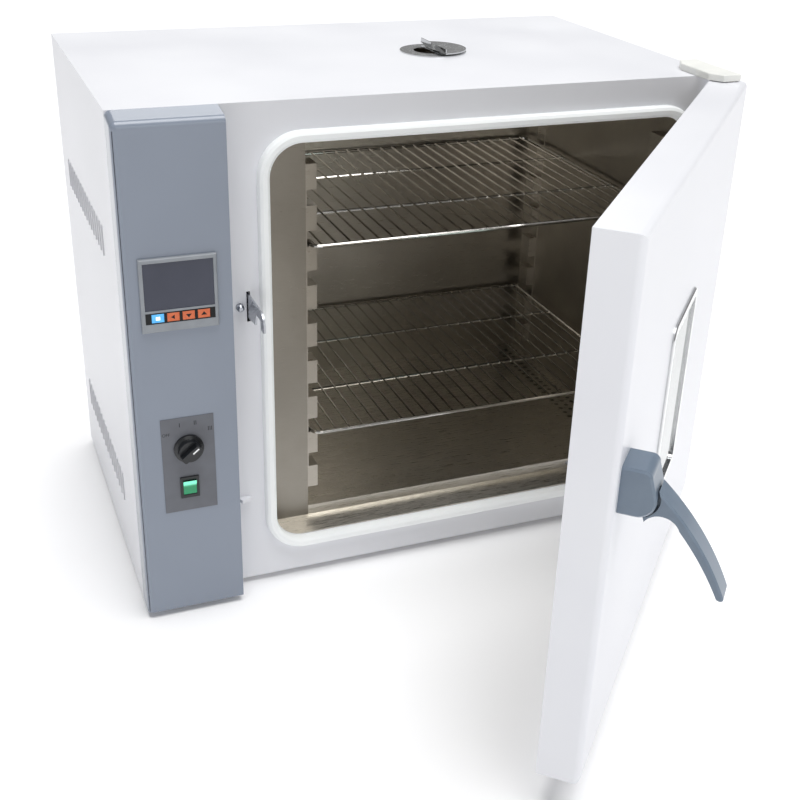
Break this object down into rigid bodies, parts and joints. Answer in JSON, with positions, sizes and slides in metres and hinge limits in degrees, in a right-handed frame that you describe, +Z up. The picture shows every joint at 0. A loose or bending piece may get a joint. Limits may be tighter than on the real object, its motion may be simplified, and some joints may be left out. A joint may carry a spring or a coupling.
{
  "type": "drying oven",
  "caption": "Forced-air drying oven: white cabinet with a raised control column at the left, a steel chamber with wire shelves on toothed racks, and a windowed door standing open.",
  "frame": {"origin": "on the table under the middle of the cabinet, in the plane of the feet", "axes": "+Z up, the front with the door faces -Y, +X to the right as seen from the front"},
  "size_m": [0.8613, 1.1341, 0.711],
  "materials": {
    "white_enamel": "semi-gloss baked enamel",
    "facia_paint": "satin grey-blue paint",
    "stainless": "brushed stainless steel",
    "zinc_steel": "zinc plated steel",
    "bright_wire": "bright plated wire",
    "bright_trim": "polished stainless trim",
    "foot_rubber": "black rubber",
    "seal_silicone": "white silicone",
    "window_glass": "clear toughened glass",
    "screen": "dark display window",
    "bezel": "grey moulding",
    "key_blue": "lit blue key",
    "key_orange": "orange key",
    "switch_plate": "printed grey plate",
    "black_plastic": "black moulding",
    "rocker_green": "lit green rocker",
    "handle_grey": "grey-blue moulding",
    "cap_cream": "off-white moulding",
    "mineral_wool": "mineral wool",
    "motor_grey": "motor casing",
    "bearing_bronze": "sintered bronze",
    "impeller_sheet": "aluminium sheet",
    "heater_tube": "oxidised steel tube"
  },
  "bodies": {
    "cabinet": {"base_tray": "white_enamel", "top_cover": "white_enamel", "right_side_panel": "white_enamel", "left_side_panel": "white_enamel", "back_panel": "white_enamel", "front_frame": "white_enamel", "feet": "foot_rubber", "bay_wall": "zinc_steel", "insulation": "mineral_wool", "cable_gland": "black_plastic", "control_facia": "facia_paint", "controller_bezel": "bezel", "controller_screen": "screen", "controller_body": "black_plastic", "switch_plate": "switch_plate", "fan_switch_body": "black_plastic", "rocker_frame": "black_plastic", "inner_liner": "stainless", "sill": "stainless", "left_duct_plate": "stainless", "floor_plate": "stainless", "rack_front_left": "stainless", "rack_front_right": "stainless", "rack_rear_left": "stainless", "rack_rear_right": "stainless", "door_gasket": "seal_silicone", "vent_pipe": "stainless", "vent_base": "bright_trim", "fan_motor": "motor_grey", "heating_elements": "heater_tube", "temperature_probe": "bright_trim", "latch_keeper": "zinc_steel", "door_switch_body": "black_plastic", "door_rest": "white_enamel", "top_hinge_bracket": "zinc_steel", "hinge_cap": "cap_cream", "bottom_hinge_bracket": "zinc_steel", "hinge_pins": "bright_trim"},
    "door": {"door_outer_skin": "white_enamel", "door_inner_panel": "stainless", "door_insulation": "mineral_wool", "door_bushes": "bearing_bronze", "window_frame": "bright_trim", "outer_glass": "window_glass", "inner_glass": "window_glass", "handle_base": "handle_grey", "lever_axle": "bright_trim"},
    "lever": {"handle_lever": "handle_grey"},
    "knob": {"fan_knob": "black_plastic"},
    "rocker": {"power_rocker": "rocker_green"},
    "key_set_cap": {"key_set": "key_blue"},
    "key_shift_cap": {"key_shift": "key_orange"},
    "key_down_cap": {"key_down": "key_orange"},
    "key_up_cap": {"key_up": "key_orange"},
    "shelf_upper": {"upper_shelf": "bright_wire"},
    "shelf_lower": {"lower_shelf": "bright_wire"},
    "damper": {"vent_damper": "bright_trim"},
    "plunger": {"door_switch_plunger": "bright_trim"},
    "fan": {"fan_impeller": "impeller_sheet"}
  },
  "joints": [
    {"name": "door_hinge", "type": "hinge", "parent": "cabinet", "child": "door", "pos_m": [0.413, -0.2863, 0.35], "axis": [0, 0, 1], "range_deg": [-47, 63]},
    {"name": "handle_lever_pivot", "type": "hinge", "parent": "door", "child": "lever", "pos_m": [-0.00392, -0.79791, 0.422], "axis": [-0.682, -0.7314, 0], "range_deg": [-40, 5]},
    {"name": "fan_switch_turn", "type": "hinge", "parent": "cabinet", "child": "knob", "pos_m": [-0.3567, -0.29, 0.262], "axis": [0, 1, 0], "range_deg": [-102, 0]},
    {"name": "power_rocker_pivot", "type": "hinge", "parent": "cabinet", "child": "rocker", "pos_m": [-0.358, -0.2905, 0.20345], "axis": [1, 0, 0], "range_deg": [-15, 0]},
    {"name": "key_set_press", "type": "slide", "parent": "cabinet", "child": "key_set_cap", "axis": [0, 1, 0], "range_m": [0, 0.0008], "stiffness_N_per_m": 400},
    {"name": "key_shift_press", "type": "slide", "parent": "cabinet", "child": "key_shift_cap", "axis": [0, 1, 0], "range_m": [0, 0.0008], "stiffness_N_per_m": 400},
    {"name": "key_down_press", "type": "slide", "parent": "cabinet", "child": "key_down_cap", "axis": [0, 1, 0], "range_m": [0, 0.0008], "stiffness_N_per_m": 400},
    {"name": "key_up_press", "type": "slide", "parent": "cabinet", "child": "key_up_cap", "axis": [0, 1, 0], "range_m": [0, 0.0008], "stiffness_N_per_m": 400},
    {"name": "upper_shelf_slide", "type": "slide", "parent": "cabinet", "child": "shelf_upper", "axis": [0, -1, 0], "range_m": [0, 0.055]},
    {"name": "lower_shelf_slide", "type": "slide", "parent": "cabinet", "child": "shelf_lower", "axis": [0, -1, 0], "range_m": [0, 0.055]},
    {"name": "vent_damper_turn", "type": "hinge", "parent": "cabinet", "child": "damper", "pos_m": [0.0915, -0.004, 0.7], "axis": [0, 0, 1], "range_deg": [0, 180]},
    {"name": "door_switch_press", "type": "slide", "parent": "cabinet", "child": "plunger", "axis": [0, 1, 0], "range_m": [0, 0.006], "stiffness_N_per_m": 200},
    {"name": "fan_spin", "type": "hinge", "parent": "cabinet", "child": "fan", "pos_m": [-0.2, 0, 0.34], "axis": [1, 0, 0], "continuous": true}
  ]
}
